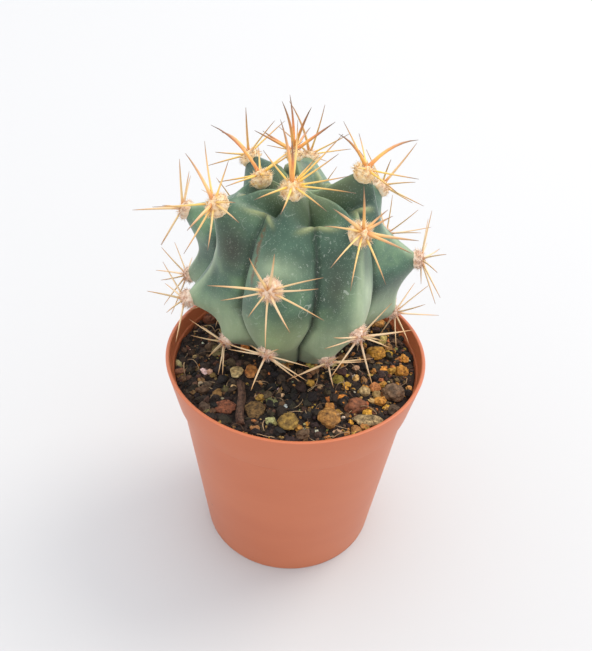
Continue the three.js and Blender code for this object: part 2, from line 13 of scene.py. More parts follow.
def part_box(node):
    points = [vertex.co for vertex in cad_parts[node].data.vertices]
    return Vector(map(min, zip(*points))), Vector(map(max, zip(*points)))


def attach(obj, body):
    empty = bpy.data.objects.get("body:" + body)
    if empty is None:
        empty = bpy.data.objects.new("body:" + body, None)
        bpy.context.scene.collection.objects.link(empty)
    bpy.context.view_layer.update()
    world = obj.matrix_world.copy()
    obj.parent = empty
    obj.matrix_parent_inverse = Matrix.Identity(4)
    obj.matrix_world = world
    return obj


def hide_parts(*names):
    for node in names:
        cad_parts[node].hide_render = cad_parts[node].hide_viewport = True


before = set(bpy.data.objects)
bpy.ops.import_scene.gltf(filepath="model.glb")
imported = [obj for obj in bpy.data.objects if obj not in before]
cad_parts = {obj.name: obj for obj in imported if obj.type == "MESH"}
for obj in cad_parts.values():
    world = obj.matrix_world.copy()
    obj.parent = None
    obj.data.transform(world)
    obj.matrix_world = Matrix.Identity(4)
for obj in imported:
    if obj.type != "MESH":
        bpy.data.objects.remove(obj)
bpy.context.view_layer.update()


# ---- Nursery pot ----
# A thin-walled pot moulded in terracotta polypropylene. A stepped band stiffens the rim,
# a small bead runs round the inside below the lip, and the floor has six drain holes.
MM = 0.001
POT_RIM_RADIUS = (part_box("pot")[1].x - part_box("pot")[0].x) / 2
POT_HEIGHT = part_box("pot")[1].z
POT_BAND_HEIGHT = 9.5 * MM
POT_BAND_FLARE = 1.9 * MM
POT_STEP = 0.75 * MM
POT_BASE_RADIUS = 20 * MM
POT_WALL = 0.8 * MM
POT_FLOOR = 1 * MM
POT_CORNER = 0.3 * MM
POT_CORNER_STEPS = 4
POT_BEAD_DEPTH = 2.7 * MM
POT_BEAD = 0.28 * MM
POT_SPIN_STEPS = 160
DRAIN_HOLE_RADIUS = 1.8 * MM
DRAIN_HOLE_COUNT = 6
DRAIN_CIRCLE_RADIUS = 12 * MM
MERGE_DISTANCE = 0.001 * MM


def srgb(hex_colour):
    """A hex colour as linear RGBA."""
    channels = [int(hex_colour[i : i + 2], 16) / 255 for i in (1, 3, 5)]
    return [c / 12.92 if c <= 0.04045 else ((c + 0.055) / 1.055) ** 2.4 for c in channels] + [1]


def add_node(tree, kind, inputs, stops=(), **settings):
    """Adds a shader node. An input is a value, or another node's output to link from."""
    node = tree.nodes.new(kind)
    for name, value in settings.items():
        setattr(node, name, value)
    for name, value in inputs.items():
        if isinstance(value, bpy.types.NodeSocket):
            tree.links.new(value, node.inputs[name])
        else:
            node.inputs[name].default_value = value
    if stops:
        ramp = node.color_ramp
        while len(ramp.elements) < len(stops):
            ramp.elements.new(1)
        for element, (position, colour) in zip(ramp.elements, stops):
            element.position = position
            element.color = srgb(colour)
    return node


def new_material(name, roughness, **sockets):
    """A material with its Principled shader set, and its node tree and shader."""
    material = bpy.data.materials.new(name)
    material.use_nodes = True
    shader = material.node_tree.nodes["Principled BSDF"]
    shader.inputs["Roughness"].default_value = roughness
    for socket, value in sockets.items():
        shader.inputs[socket.replace("_", " ")].default_value = value
    return material, material.node_tree, shader


def add_piece(name, bm, materials, nodes=(), faceted=False):
    """Makes the bmesh a piece of the object that rides on the one body."""
    mesh = bpy.data.meshes.new(name)
    bm.to_mesh(mesh)
    bm.free()
    for material in materials:
        mesh.materials.append(material)
    if faceted:
        mesh.shade_flat()
    else:
        mesh.shade_smooth()
    piece = bpy.data.objects.new(name, mesh)
    bpy.context.scene.collection.objects.link(piece)
    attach(piece, "root")
    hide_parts(*nodes)
    return piece


def rounded(outline, radius, steps):
    """The closed outline's corners, each replaced by a short curve of about that radius."""
    points = []
    for i, corner in enumerate(outline):
        if corner.x < MERGE_DISTANCE:
            points.append(corner)
            continue
        before = outline[i - 1] - corner
        after = outline[(i + 1) % len(outline)] - corner
        reach = min(radius, 0.45 * before.length, 0.45 * after.length)
        start = corner + before.normalized() * reach
        end = corner + after.normalized() * reach
        for step in range(steps + 1):
            t = step / steps
            points.append(start * (1 - t) ** 2 + corner * 2 * t * (1 - t) + end * t * t)
    return points


def spun(outline, steps):
    """A bmesh of the open outline, from axis to axis, spun once round Z."""
    bm = bmesh.new()
    verts = [bm.verts.new((p.x, 0, p.y)) for p in outline]
    edges = [bm.edges.new(pair) for pair in zip(verts, verts[1:])]
    bmesh.ops.spin(
        bm,
        geom=verts + edges,
        axis=(0, 0, 1),
        cent=(0, 0, 0),
        angle=2 * math.pi,
        steps=steps,
        use_merge=True,
    )
    bmesh.ops.remove_doubles(bm, verts=bm.verts, dist=MERGE_DISTANCE)
    bmesh.ops.recalc_face_normals(bm, faces=bm.faces)
    return bm


band_foot = POT_HEIGHT - POT_BAND_HEIGHT
band_foot_radius = POT_RIM_RADIUS - POT_BAND_FLARE
body_top_radius = band_foot_radius - POT_STEP
bead_radius = POT_RIM_RADIUS - POT_WALL - POT_BAND_FLARE * POT_BEAD_DEPTH / POT_BAND_HEIGHT
pot_outline = rounded(
    [
        Vector((0, 0)),
        Vector((POT_BASE_RADIUS, 0)),
        Vector((body_top_radius, band_foot)),
        Vector((band_foot_radius, band_foot)),
        Vector((POT_RIM_RADIUS, POT_HEIGHT)),
        Vector((POT_RIM_RADIUS - POT_WALL, POT_HEIGHT)),
        Vector((bead_radius, POT_HEIGHT - POT_BEAD_DEPTH)),
        Vector((bead_radius - POT_BEAD, POT_HEIGHT - POT_BEAD_DEPTH - POT_BEAD)),
        Vector((band_foot_radius - POT_WALL, band_foot)),
        Vector((body_top_radius - POT_WALL, band_foot - POT_WALL)),
        Vector((POT_BASE_RADIUS - POT_WALL, POT_FLOOR)),
        Vector((0, POT_FLOOR)),
    ],
    POT_CORNER,
    POT_CORNER_STEPS,
)
pot_bm = spun(pot_outline, POT_SPIN_STEPS)

# Polypropylene, injection moulded: a satin skin with a fine orange-peel texture, faint
# flow marks that run round it and a few dark specks.
pot_plastic, tree, shader = new_material("moulded polypropylene", 0.42, IOR=1.49)
place = add_node(tree, "ShaderNodeTexCoord", {}).outputs["Object"]
FLOW_MARK = 12 * MM
ORANGE_PEEL = 0.5 * MM
SPECK_SPACING = 7 * MM
stretched = add_node(tree, "ShaderNodeMapping", {"Vector": place, "Scale": (0.35, 0.35, 1)})
flow = add_node(
    tree, "ShaderNodeTexNoise", {"Vector": stretched.outputs[0], "Scale": 1 / FLOW_MARK, "Detail": 3}
)
plastic_colour = add_node(
    tree, "ShaderNodeValToRGB", {0: flow.outputs[0]}, stops=[(0.3, "#BE6944"), (0.7, "#C5714B")]
)
speck = add_node(tree, "ShaderNodeTexVoronoi", {"Vector": place, "Scale": 1 / SPECK_SPACING})
speck_mask = add_node(
    tree, "ShaderNodeMath", {0: speck.outputs["Distance"], 1: 0.035}, operation="LESS_THAN"
)
specked = add_node(
    tree,
    "ShaderNodeMix",
    {"Factor": speck_mask.outputs[0], 6: plastic_colour.outputs[0], 7: srgb("#8A4A36")},
    data_type="RGBA",
)
tree.links.new(specked.outputs[2], shader.inputs["Base Color"])
peel = add_node(tree, "ShaderNodeTexNoise", {"Vector": place, "Scale": 1 / ORANGE_PEEL, "Detail": 2})
peel_bump = add_node(
    tree, "ShaderNodeBump", {"Height": peel.outputs[0], "Strength": 0.12, "Distance": 0.05 * MM}
)
tree.links.new(peel_bump.outputs[0], shader.inputs["Normal"])

pot = add_piece("nursery_pot", pot_bm, [pot_plastic], ["pot"])
cutter_bm = bmesh.new()
for hole in range(DRAIN_HOLE_COUNT):
    turn = Matrix.Rotation(2 * math.pi * hole / DRAIN_HOLE_COUNT, 4, "Z")
    bmesh.ops.create_cone(
        cutter_bm,
        cap_ends=True,
        segments=32,
        radius1=DRAIN_HOLE_RADIUS,
        radius2=DRAIN_HOLE_RADIUS,
        depth=4 * POT_FLOOR,
        matrix=turn @ Matrix.Translation((DRAIN_CIRCLE_RADIUS, 0, POT_FLOOR / 2)),
    )
cutter_mesh = bpy.data.meshes.new("drain_cutter")
cutter_bm.to_mesh(cutter_mesh)
cutter_bm.free()
cutter = bpy.data.objects.new("drain_cutter", cutter_mesh)
bpy.context.scene.collection.objects.link(cutter)
drilled = pot.modifiers.new("drain_holes", "BOOLEAN")
drilled.object = cutter
drilled.operation = "DIFFERENCE"
pot_mesh = bpy.data.meshes.new_from_object(pot.evaluated_get(bpy.context.evaluated_depsgraph_get()))
pot.modifiers.clear()
pot.data = pot_mesh
bpy.data.objects.remove(cutter)


# ---- Ribbed stem ----
# One succulent body with eight ribs. Each rib swells into tubercles under its areoles, the
# clefts between ribs are deepest round the sunken crown, and the underside tapers to a root.
SOIL_LEVEL = POT_HEIGHT - 3.6 * MM
STEM_CENTRE = Vector((0.5 * MM, 7 * MM, SOIL_LEVEL + 19.6 * MM))
# The stem's own sizes are in millimetres, and its tilts in degrees from straight up.
STEM_RADIUS = 18.2
CROWN_CLEFT_DEPTH = 5.8
RIDGE_CLEFT_DEPTH = 1.7
LOWER_CLEFT_DEPTH = 3
RIDGE_TILT = 42
RIDGE_SAG = 9
RIDGE_STEP = 5
LOWER_CLEFT_TILTS = (50, 85)
CLEFTS_START = (0, 30)
CLEFTS_RUN_OUT = (100, 150)
CLEFTS_LEFT_BELOW = 0.4
CREST_ROUNDING_TILTS = (22, 45)
CROWN_DIP = 5
CROWN_DIP_SPREAD = 22
ROOT_DEPTH = 7.5
ROOT_SPREAD = 26
CREASE_DEPTH = 0.7
SKIN_SWELL = 0.3
SKIN_SWELL_SIZE = 6
# These are shares: of the stem's radius for a tubercle, and of half a rib for the crease.
TUBERCLE_LENGTH = 0.26
TUBERCLE_WIDTH = 0.2
TUBERCLE_ROUNDING = 0.06
CREASE_WIDTH = 0.07
STEM_STEPS_PER_RIB = 28
STEM_RINGS = 150

# The ribs in order round the stem, 0 degrees at the front, growing to the right. Each
# areole is its azimuth, its tilt from straight up, how far its tubercle stands out in
# millimetres, and the size of its pad. Roundness is 1 for a sharp crest, 2 for a round one.
RIBS = [
    ("front", 2.6, [(-19, 20, 4.3, 1), (-17, 70, 2.9, 1), (-21, 120, 1.6, 0.7)]),
    ("front_right", 1.3, [(39, 45, 4.3, 1), (38, 106, 1.1, 0.8), (22, 128, 1.7, 0.6)]),
    ("right", 1.3, [(78, 25, 7.1, 0.9), (92, 83, 5.4, 0.8), (94, 119, 4.6, 0.6)]),
    ("back_right", 1.3, [(130, 58, 5.2, 0.9), (130, 90, 4.6, 0.8), (133, 122, 2.7, 0.6)]),
    ("back", 1.3, [(197, 25, 3.4, 0.7), (179, 49, 5.4, 0.9), (178, 85, 4.7, 0.9), (178, 120, 2.9, 0.6)]),
    ("back_left", 1.3, [(220, 47, 6.5, 0.9), (218, 85, 4.7, 0.9), (219, 120, 3.2, 0.6)]),
    ("left", 1.3, [(267, 24, 2, 0.9), (257, 70, 8.2, 0.8), (254, 107, 7.7, 0.7), (252, 126, 0.6, 0.6)]),
    ("front_left", 1.3, [(299, 45, 7.8, 1), (278, 106, 5.6, 0.8), (297, 129, 3.6, 0.6)]),
]
# Saddles of young skin bridge four clefts near the crown: rib coordinate and height.
SADDLES = [(0.5, 0.8), (7.5, 0.8), (1.5, 0.6), (6.5, 0.6)]
SADDLE_TILT = 34
SADDLE_WIDTH = 0.3
SADDLE_LENGTH = 4.5


def smooth(x, low, high):
    """A soft step from 0 at the low value to 1 at the high one."""
    t = np.clip((x - low) / (high - low), 0, 1)
    return t * t * (3 - 2 * t)


def direction_of(azimuth, tilt):
    """The unit vector at an azimuth and a tilt, both in degrees."""
    a, t = np.radians(azimuth), np.radians(tilt)
    return np.stack([np.sin(t) * np.sin(a), -np.sin(t) * np.cos(a), np.cos(t) + 0 * a], axis=-1)


def crest_azimuth(rib, tilt):
    """Azimuth of a rib's crest at each tilt, past the last rib going round again."""
    rows = RIBS[rib % len(RIBS)][2]
    return np.interp(tilt, [row[1] for row in rows], [row[0] for row in rows]) + 360 * (rib // len(RIBS))


def crown_dip(tilt):
    """Depth of the hollow that the youngest areoles grow in."""
    return CROWN_DIP * np.exp(-((tilt / CROWN_DIP_SPREAD) ** 2))


def softened(x):
    """The size of a number, with its sharp turn at 0 rounded."""
    return np.hypot(x, TUBERCLE_ROUNDING) - TUBERCLE_ROUNDING


def ribs_from(place, rib_coordinate):
    """How far round the stem a coordinate lies from a place, in ribs to the right."""
    half_way = len(RIBS) / 2
    return (rib_coordinate - place + half_way) % len(RIBS) - half_way


def stem_reach(rib_coordinate, tilt):
    """Distance from the stem's middle to its skin, in mm, and its direction.
    The rib coordinate is whole on a crest and halfway between in the cleft."""
    low = np.floor(rib_coordinate).astype(int)
    share = rib_coordinate - low
    crests = np.stack([crest_azimuth(rib, tilt) for rib in range(len(RIBS) + 2)])
    pick = np.arange(len(tilt))
    azimuth = crests[low, pick] * (1 - share) + crests[low + 1, pick] * share
    direction = direction_of(azimuth, tilt)
    roundness = np.array([rib[1] for rib in RIBS])[np.round(rib_coordinate).astype(int) % len(RIBS)]
    from_crest = 2 * np.minimum(share, 1 - share)
    fade = smooth(tilt, *CLEFTS_START) * (1 - (1 - CLEFTS_LEFT_BELOW) * smooth(tilt, *CLEFTS_RUN_OUT))
    ridge = RIDGE_TILT - RIDGE_SAG * from_crest
    past_ridge = smooth(tilt, ridge - RIDGE_STEP, ridge)
    depth = CROWN_CLEFT_DEPTH + (RIDGE_CLEFT_DEPTH - CROWN_CLEFT_DEPTH) * past_ridge
    depth += (LOWER_CLEFT_DEPTH - RIDGE_CLEFT_DEPTH) * smooth(tilt, *LOWER_CLEFT_TILTS)
    reach = STEM_RADIUS - crown_dip(tilt) + ROOT_DEPTH * np.exp(-(((180 - tilt) / ROOT_SPREAD) ** 2))
    reach -= depth * fade * from_crest ** (1 + (roundness - 1) * smooth(tilt, *CREST_ROUNDING_TILTS))
    reach -= CREASE_DEPTH * fade * np.exp(-(((1 - from_crest) / CREASE_WIDTH) ** 2))
    for _, _, rows in RIBS:
        for azimuth, areole_tilt, stand_out, _ in rows:
            outward = direction_of(azimuth, areole_tilt)
            offset = direction - outward
            fall = softened(offset @ direction_of(azimuth, areole_tilt + 90)) / TUBERCLE_LENGTH
            fall += softened(offset @ direction_of(azimuth + 90, 90)) / TUBERCLE_WIDTH
            fall += np.maximum(0, 1 - direction @ outward) / TUBERCLE_WIDTH
            reach += (stand_out + crown_dip(areole_tilt)) * np.exp(-fall)
    return reach, direction


def saddle_height(rib_coordinate, tilt):
    """How high the saddles of young skin stand at each place, in mm."""
    height = np.zeros(len(tilt))
    for place, rise in SADDLES:
        across = ribs_from(place, rib_coordinate) / SADDLE_WIDTH
        height += rise * np.exp(-(((tilt - SADDLE_TILT) / SADDLE_LENGTH) ** 2) - across**4)
    return height


stem_bm = bmesh.new()
bmesh.ops.create_uvsphere(
    stem_bm, u_segments=len(RIBS) * STEM_STEPS_PER_RIB, v_segments=STEM_RINGS, radius=1
)
stem_points = np.array([vert.co for vert in stem_bm.verts])
stem_tilt = np.degrees(np.arccos(np.clip(stem_points[:, 2], -1, 1)))
stem_turn = np.arctan2(stem_points[:, 0], -stem_points[:, 1]) / (2 * math.pi)
ROUNDING = 1e-6
rib_coordinate = len(RIBS) * np.where(stem_turn < -ROUNDING, stem_turn + 1, np.maximum(stem_turn, 0))
rib_coordinate[np.hypot(stem_points[:, 0], stem_points[:, 1]) < ROUNDING] = 0
rib_coordinate = np.where(rib_coordinate > len(RIBS) - 100 * ROUNDING, 0, rib_coordinate)
reach, direction = stem_reach(rib_coordinate, stem_tilt)
reach += saddle_height(rib_coordinate, stem_tilt)
swell = np.array([noise.noise(Vector(d) * STEM_RADIUS / SKIN_SWELL_SIZE) for d in direction])
reach += SKIN_SWELL * swell
stem_surface = np.array(STEM_CENTRE) + MM * reach[:, None] * direction
for vert, point in zip(stem_bm.verts, stem_surface):
    vert.co = point

# Masks that the skin's colours follow: painted shade along the clefts and over the sunken
# crown, pale waxy bloom with a painted highlight on the front-right rib and painted bounce
# light on the lower stem, young olive skin with a painted highlight along the crown's ridge,
# a brown corky scar along the front rib's left edge, dusty places, and painted shade on the
# flanks beside the front rib. Each is worked out from the rib coordinate and the tilt.
to_crest = np.abs(rib_coordinate - np.round(rib_coordinate))
nearest_rib = np.round(rib_coordinate).astype(int) % len(RIBS)
has_sharp_crest = np.array([roundness < 2 for _, roundness, _ in RIBS])[nearest_rib]


def skin_patch(place, width, tilt=90, length=math.inf):
    """A soft patch of skin round a rib coordinate and a tilt, 1 at its middle."""
    across = ribs_from(place, rib_coordinate) / width
    return np.exp(-(across**2) - ((stem_tilt - tilt) / length) ** 2)


# Painted shade: dark lines down the clefts below the crown, and a darker sunken crown away from the crests.
cleft = np.exp(-(((1 - 2 * to_crest) / 0.09) ** 2)) * smooth(stem_tilt, 20, 60)
cleft += 0.45 * (1 - smooth(stem_tilt, 26, 48)) * smooth(to_crest, 0, 0.2)

bloom_and_painted_light = 0.75 * has_sharp_crest * np.exp(-((to_crest / 0.05) ** 2)) * smooth(stem_tilt, 40, 60)
# Painted highlight: a pale patch on the front-right rib, just right of its crest, between its first two
# areoles; a pale band also crosses the front rib.
bloom_and_painted_light += 1.3 * skin_patch(1.12, 0.22, 88, 20) + 0.7 * skin_patch(0, 0.3, 60, 7)
# Painted bounce light: the lower stem is made paler, less so on the front rib.
bloom_and_painted_light += 0.8 * smooth(stem_tilt, 88, 118) * (1 - 0.6 * skin_patch(0.1, 0.25))

# Painted highlight: a pale olive line along the crown's ridge. Young olive skin also covers the crown and
# low on the front rib.
ridge_tilt = RIDGE_TILT - 2 * RIDGE_SAG * to_crest
young = 1.2 * np.exp(-(((stem_tilt - ridge_tilt) / 1.6) ** 2)) * smooth(to_crest, 0.1, 0.4)
young += 0.35 * (1 - smooth(stem_tilt, 14, 36))
young += 0.4 * skin_patch(0.15, 0.35) * smooth(stem_tilt, 78, 108)

scar = skin_patch(7.62 + 0.1 * smooth(stem_tilt, 40, 75), 0.035)
scar *= smooth(stem_tilt, 36, 44) * (1 - smooth(stem_tilt, 66, 80))

dusty = 0.35 + skin_patch(0.55, 0.35, 72, 24)
# Painted shade on the flanks that face the front rib: the front-left rib's right flank and the front-right
# rib's left flank.
painted_facet_shade = skin_patch(-0.73, 0.2, 60, 15) + 0.8 * skin_patch(0.72, 0.17, 72, 20)

skin_layer = stem_bm.verts.layers.float_color.new("skin_masks")
marks_and_shade_layer = stem_bm.verts.layers.float_color.new("skin_marks_and_shade")
skin_values = np.clip(np.stack([cleft, bloom_and_painted_light, young, scar, dusty, painted_facet_shade], axis=1), 0, 1)
for vert, values in zip(stem_bm.verts, skin_values):
    vert[skin_layer] = (*values[:3], 1)
    vert[marks_and_shade_layer] = (*values[3:], 1)

# Cactus skin: a smooth waxy cuticle, satin, blue-green under a pale bloom that rubs off in
# streaks, with fine pale pores, short curved scratches and flecks of mineral dust. Shade is
# painted into the clefts, the crown and the flanks beside the front rib, and highlight and
# bounce light into the bloom and along the crown's ridge. The pores are drawn a little
# coarser than real ones, so that they show.
skin, tree, shader = new_material("waxy cactus skin", 0.44, IOR=1.45)
shader.inputs["Sheen Weight"].default_value = 0.12
shader.inputs["Subsurface Weight"].default_value = 0.06
shader.inputs["Subsurface Radius"].default_value = (0.6, 1, 0.5)
shader.inputs["Subsurface Scale"].default_value = 1.5 * MM
FLESH_PATCH = 9 * MM
BLOOM_STREAK = 2.5 * MM
PORE_SPACING = 0.45 * MM
SCRATCH_LOOP = 5.5 * MM
SCRATCH_WANDER = 3 * MM
SCRATCH_GAP = 2.2 * MM
DUST_SPACING = 1 * MM
CUTICLE_RELIEF = 0.12 * MM
place = add_node(tree, "ShaderNodeTexCoord", {}).outputs["Object"]
masks = add_node(tree, "ShaderNodeAttribute", {}, attribute_name="skin_masks")
mask = add_node(tree, "ShaderNodeSeparateColor", {0: masks.outputs["Color"]})
marks = add_node(tree, "ShaderNodeAttribute", {}, attribute_name="skin_marks_and_shade")
mark = add_node(tree, "ShaderNodeSeparateColor", {0: marks.outputs["Color"]})
patches = add_node(tree, "ShaderNodeTexNoise", {"Vector": place, "Scale": 1 / FLESH_PATCH, "Detail": 4})
flesh = add_node(
    tree,
    "ShaderNodeValToRGB",
    {0: patches.outputs[0]},
    stops=[(0.3, "#2B4638"), (0.5, "#486854"), (0.7, "#6F9069")],
)
lengthwise = add_node(tree, "ShaderNodeMapping", {"Vector": place, "Scale": (1, 1, 0.35)})
streaks = add_node(
    tree,
    "ShaderNodeTexNoise",
    {"Vector": lengthwise.outputs[0], "Scale": 1 / BLOOM_STREAK, "Detail": 5, "Roughness": 0.65},
)
worn = add_node(tree, "ShaderNodeMath", {0: streaks.outputs[0], 1: 0.3}, operation="ADD")
# The streaks wear the bloom and its painted highlight and bounce light alike.
worn_bloom_and_painted_light = add_node(
    tree, "ShaderNodeMath", {0: mask.outputs[1], 1: worn.outputs[0]}, operation="MULTIPLY"
)
pores = add_node(tree, "ShaderNodeTexVoronoi", {"Vector": place, "Scale": 1 / PORE_SPACING})
pore_mask = add_node(
    tree, "ShaderNodeMapRange", {0: pores.outputs["Distance"], 1: 0.08, 2: 0.3, 3: 0.3, 4: 0}
)
wander = add_node(tree, "ShaderNodeTexNoise", {"Vector": place, "Scale": 1 / SCRATCH_WANDER, "Detail": 1})
wandering = add_node(
    tree,
    "ShaderNodeVectorMath",
    {0: wander.outputs["Color"], 1: (SCRATCH_WANDER,) * 3, 2: place},
    operation="MULTIPLY_ADD",
)
loops = add_node(tree, "ShaderNodeTexVoronoi", {"Vector": wandering.outputs[0], "Scale": 1 / SCRATCH_LOOP})
on_loop = add_node(
    tree, "ShaderNodeMath", {0: loops.outputs["Distance"], 1: 0.33, 2: 0.014}, operation="COMPARE"
)
breaks = add_node(tree, "ShaderNodeTexNoise", {"Vector": place, "Scale": 1 / SCRATCH_GAP, "Detail": 1})
unbroken = add_node(tree, "ShaderNodeMath", {0: breaks.outputs[0], 1: 0.54}, operation="GREATER_THAN")
scratch = add_node(
    tree, "ShaderNodeMath", {0: on_loop.outputs[0], 1: unbroken.outputs[0]}, operation="MULTIPLY"
)
dust = add_node(
    tree,
    "ShaderNodeTexNoise",
    {"Vector": place, "Scale": 1 / DUST_SPACING, "Detail": 6, "Roughness": 0.8},
)
dust_mask = add_node(tree, "ShaderNodeMath", {0: dust.outputs[0], 1: 0.61}, operation="GREATER_THAN")
either = add_node(
    tree, "ShaderNodeMath", {0: scratch.outputs[0], 1: dust_mask.outputs[0]}, operation="MAXIMUM"
)
pale_marks = add_node(
    tree, "ShaderNodeMath", {0: either.outputs[0], 1: mark.outputs[1]}, operation="MULTIPLY"
)
faint_marks = add_node(
    tree, "ShaderNodeMath", {0: pale_marks.outputs[0], 1: 0.42}, operation="MULTIPLY"
)
corky = add_node(tree, "ShaderNodeMath", {0: dust.outputs[0], 1: 0.47}, operation="GREATER_THAN")
cork = add_node(
    tree, "ShaderNodeMath", {0: mark.outputs[0], 1: corky.outputs[0]}, operation="MULTIPLY"
)
# Painted shade on the flanks beside the front rib, from the third channel of the skin marks.
facet_shade_amount = add_node(tree, "ShaderNodeMath", {0: mark.outputs[2], 1: 0.9}, operation="MULTIPLY")
colour = flesh.outputs[0]
# Laid over the flesh in turn: painted flank shade, bloom with painted highlight and bounce light, young
# skin with its painted ridge highlight, painted cleft shade, pores, pale scratches and dust, and the corky
# scar.
for amount, over in (
    (facet_shade_amount.outputs[0], "#383A2E"),
    (worn_bloom_and_painted_light.outputs[0], "#A9BA97"),
    (mask.outputs[2], "#A3AC78"),
    (mask.outputs[0], "#2B3B2E"),
    (pore_mask.outputs[0], "#A9BFA4"),
    (faint_marks.outputs[0], "#CDD5C6"),
    (cork.outputs[0], "#6A4C32"),
):
    colour = add_node(
        tree, "ShaderNodeMix", {"Factor": amount, 6: colour, 7: srgb(over)}, data_type="RGBA"
    ).outputs[2]
tree.links.new(colour, shader.inputs["Base Color"])
skin_height = add_node(
    tree,
    "ShaderNodeMath",
    {0: pore_mask.outputs[0], 1: 0.4, 2: streaks.outputs[0]},
    operation="MULTIPLY_ADD",
)
skin_bump = add_node(
    tree, "ShaderNodeBump", {"Height": skin_height.outputs[0], "Strength": 0.25, "Distance": CUTICLE_RELIEF}
)
tree.links.new(skin_bump.outputs[0], shader.inputs["Normal"])
stem_tree = BVHTree.FromBMesh(stem_bm)
add_piece("ribbed_stem", stem_bm, [skin], ["cactus_stem"])


# ---- Areoles: wool pads and spines ----
# Each tubercle ends in a pad of short cream wool, out of which the spines grow. Young
# spines at the crown are amber with red-brown tips, and old ones below fade to pinkish straw.
PAD_RADIUS = 2.28 * MM
PAD_HEIGHT = 1.35 * MM
PAD_SINK = 0.5 * MM
PAD_LUMPINESS = 0.1
PAD_LUMPS_ACROSS = 2.6
PAD_HAIRS = 300
HAIR_LENGTH = 1.2 * MM
HAIR_RADIUS = 0.09 * MM
STAIN_WIDTH = 0.3 * MM
SPINE_RADIUS = 0.165 * MM
SPINE_BASE_BULGE = 0.35
SPINE_TIP_RADIUS = 0.04 * MM
SPINE_SIDES = 7
SPINE_RINGS = 7
SHORTEST_SPINE = 3 * MM
TIP_REACH = 1.4 * MM
SPINES_AGE_TILTS = (20, 95)
CENTRAL_LEAN = 0.45
CENTRAL_STOUTNESS = 0.9
CURL_LENGTH = 10.5 * MM
CURL_TILT = 50
SPINE_CURL = 0.42

# Spines: hard, horny keratin-like tissue, smooth and slightly glossy. Colour runs from the
# base to the tip, and the fine rings of growth show as faint bands.
spine_horn, tree, shader = new_material("spine horn", 0.38, IOR=1.5)
tones = add_node(tree, "ShaderNodeAttribute", {}, attribute_name="spine_tones")
tone = add_node(tree, "ShaderNodeSeparateColor", {0: tones.outputs["Color"]})
young_horn = add_node(
    tree,
    "ShaderNodeValToRGB",
    {0: tone.outputs[0]},
    stops=[(0.1, "#E0A038"), (0.22, "#F6CE52"), (0.5, "#EDC066"), (0.78, "#C28842"), (0.93, "#5E3E32")],
)
red_horn = add_node(
    tree,
    "ShaderNodeValToRGB",
    {0: tone.outputs[0]},
    stops=[(0.1, "#DC7A2E"), (0.3, "#EE9C3A"), (0.5, "#D06A30"), (0.7, "#8E4830"), (0.92, "#4E3432")],
)
old_horn = add_node(
    tree,
    "ShaderNodeValToRGB",
    {0: tone.outputs[0]},
    stops=[(0.1, "#C68358"), (0.24, "#E8CAA4"), (0.6, "#E6C49A"), (0.88, "#D09A62"), (1, "#8E5A38")],
)
GROWTH_RING = 0.5 * MM
place = add_node(tree, "ShaderNodeTexCoord", {}).outputs["Object"]
rings = add_node(tree, "ShaderNodeTexNoise", {"Vector": place, "Scale": 1 / GROWTH_RING, "Detail": 2})
faint_rings = add_node(tree, "ShaderNodeMath", {0: rings.outputs[0], 1: 0.22}, operation="MULTIPLY")
horn_colour = young_horn.outputs[0]
for amount, over in (
    (tone.outputs[2], red_horn.outputs[0]),
    (tone.outputs[1], old_horn.outputs[0]),
    (faint_rings.outputs[0], srgb("#F2DCB0")),
):
    horn_colour = add_node(
        tree, "ShaderNodeMix", {"Factor": amount, 6: horn_colour, 7: over}, data_type="RGBA"
    ).outputs[2]
tree.links.new(horn_colour, shader.inputs["Base Color"])
ring_bump = add_node(
    tree, "ShaderNodeBump", {"Height": rings.outputs[0], "Strength": 0.2, "Distance": 0.05 * MM}
)
tree.links.new(ring_bump.outputs[0], shader.inputs["Normal"])

# Areole wool: matted short felt, fully matt, cream with a yellow or pinkish cast in tufts.
wool, tree, shader = new_material("areole wool", 0.95)
shader.inputs["Sheen Weight"].default_value = 0.35
place = add_node(tree, "ShaderNodeTexCoord", {}).outputs["Object"]
TUFT = 0.8 * MM
ages = add_node(tree, "ShaderNodeAttribute", {}, attribute_name="spine_tones")
age = add_node(tree, "ShaderNodeSeparateColor", {0: ages.outputs["Color"]})
tufts = add_node(tree, "ShaderNodeTexNoise", {"Vector": place, "Scale": 1 / TUFT, "Detail": 4})
young_wool = add_node(
    tree, "ShaderNodeValToRGB", {0: tufts.outputs[0]}, stops=[(0.35, "#EFC884"), (0.62, "#FAE6C2")]
)
old_wool = add_node(
    tree, "ShaderNodeValToRGB", {0: tufts.outputs[0]}, stops=[(0.35, "#E3BA9C"), (0.62, "#F8E2CE")]
)
wool_colour = young_wool.outputs[0]
for amount, over in ((age.outputs[1], old_wool.outputs[0]), (age.outputs[2], srgb("#A8582E"))):
    wool_colour = add_node(
        tree, "ShaderNodeMix", {"Factor": amount, 6: wool_colour, 7: over}, data_type="RGBA"
    ).outputs[2]
tree.links.new(wool_colour, shader.inputs["Base Color"])
tuft_bump = add_node(
    tree, "ShaderNodeBump", {"Height": tufts.outputs[0], "Strength": 0.6, "Distance": 0.2 * MM}
)
tree.links.new(tuft_bump.outputs[0], shader.inputs["Normal"])


def spine_paths(node, foot):
    """The spines of a CAD areole, each as its middle and tip: a tip is a lone far vertex."""
    bm = bmesh.new()
    bm.from_mesh(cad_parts[node].data)
    bmesh.ops.remove_doubles(bm, verts=bm.verts, dist=10 * MERGE_DISTANCE)
    paths = []
    for vert in bm.verts:
        around = [edge.other_vert(vert).co for edge in vert.link_edges]
        nearest = min((vert.co - co).length for co in around)
        if nearest > TIP_REACH and (vert.co - foot).length > SHORTEST_SPINE:
            paths.append((sum(around, Vector()) / len(around), vert.co.copy()))
    bm.free()
    return paths


